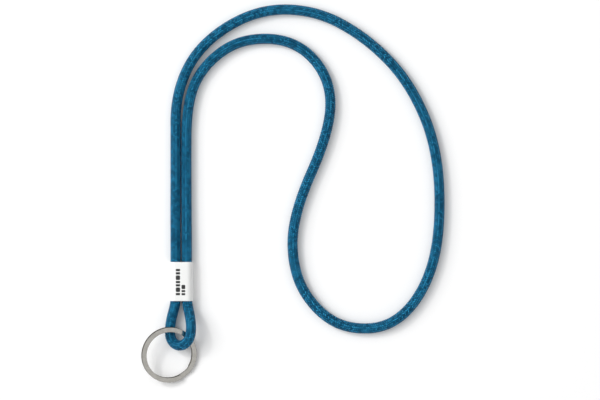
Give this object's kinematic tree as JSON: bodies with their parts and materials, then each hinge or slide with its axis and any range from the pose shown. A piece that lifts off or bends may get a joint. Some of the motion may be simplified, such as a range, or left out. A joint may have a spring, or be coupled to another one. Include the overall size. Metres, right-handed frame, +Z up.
{
  "type": "neck lanyard",
  "caption": "Neck lanyard of round braided cord, joined in a flat oval sleeve, with a short key loop below the sleeve and a two-turn split ring for keys.",
  "frame": {"origin": "middle of the sleeve's flat underside", "axes": "+Y along the two cord legs, from the sleeve to the neck loop; +Z up, away from the surface the lanyard lies on; +X towards the neck loop's open side"},
  "size_m": [0.1733, 0.216, 0.0124],
  "materials": {
    "cord_braid": "petrol blue polyester braid, slightly glossy filament",
    "core_yarn": "undyed polyester yarn",
    "melted_cord": "melted polyester",
    "glue": "set hot-melt glue",
    "sleeve_plastic": "white satin plastic",
    "print_ink": "black print",
    "ring_steel": "nickel-plated spring steel"
  },
  "bodies": {
    "root": {"sleeve": "sleeve_plastic", "sleeve_print": "print_ink", "neck_cord_sheath": "cord_braid", "neck_cord_core": "core_yarn", "cord_tail_sheath": "cord_braid", "cord_tail_core": "core_yarn", "sealed_ends": "melted_cord", "glue_fill": "glue"},
    "key_loop": {"key_loop_sheath": "cord_braid", "key_loop_core": "core_yarn"},
    "ring": {"split_ring": "ring_steel"}
  },
  "joints": [
    {"name": "loop_flex", "type": "hinge", "parent": "root", "child": "key_loop", "pos_m": [0, -0.015, 0.00365], "axis": [-1, 0, 0], "range_deg": [0, 70], "stiffness_Nm_per_rad": 0.008},
    {"name": "ring_spin", "type": "hinge", "parent": "key_loop", "child": "ring", "pos_m": [-0.0069, -0.0418, 0.00565], "axis": [0.2424, -0.1635, 0.9563], "continuous": true}
  ]
}
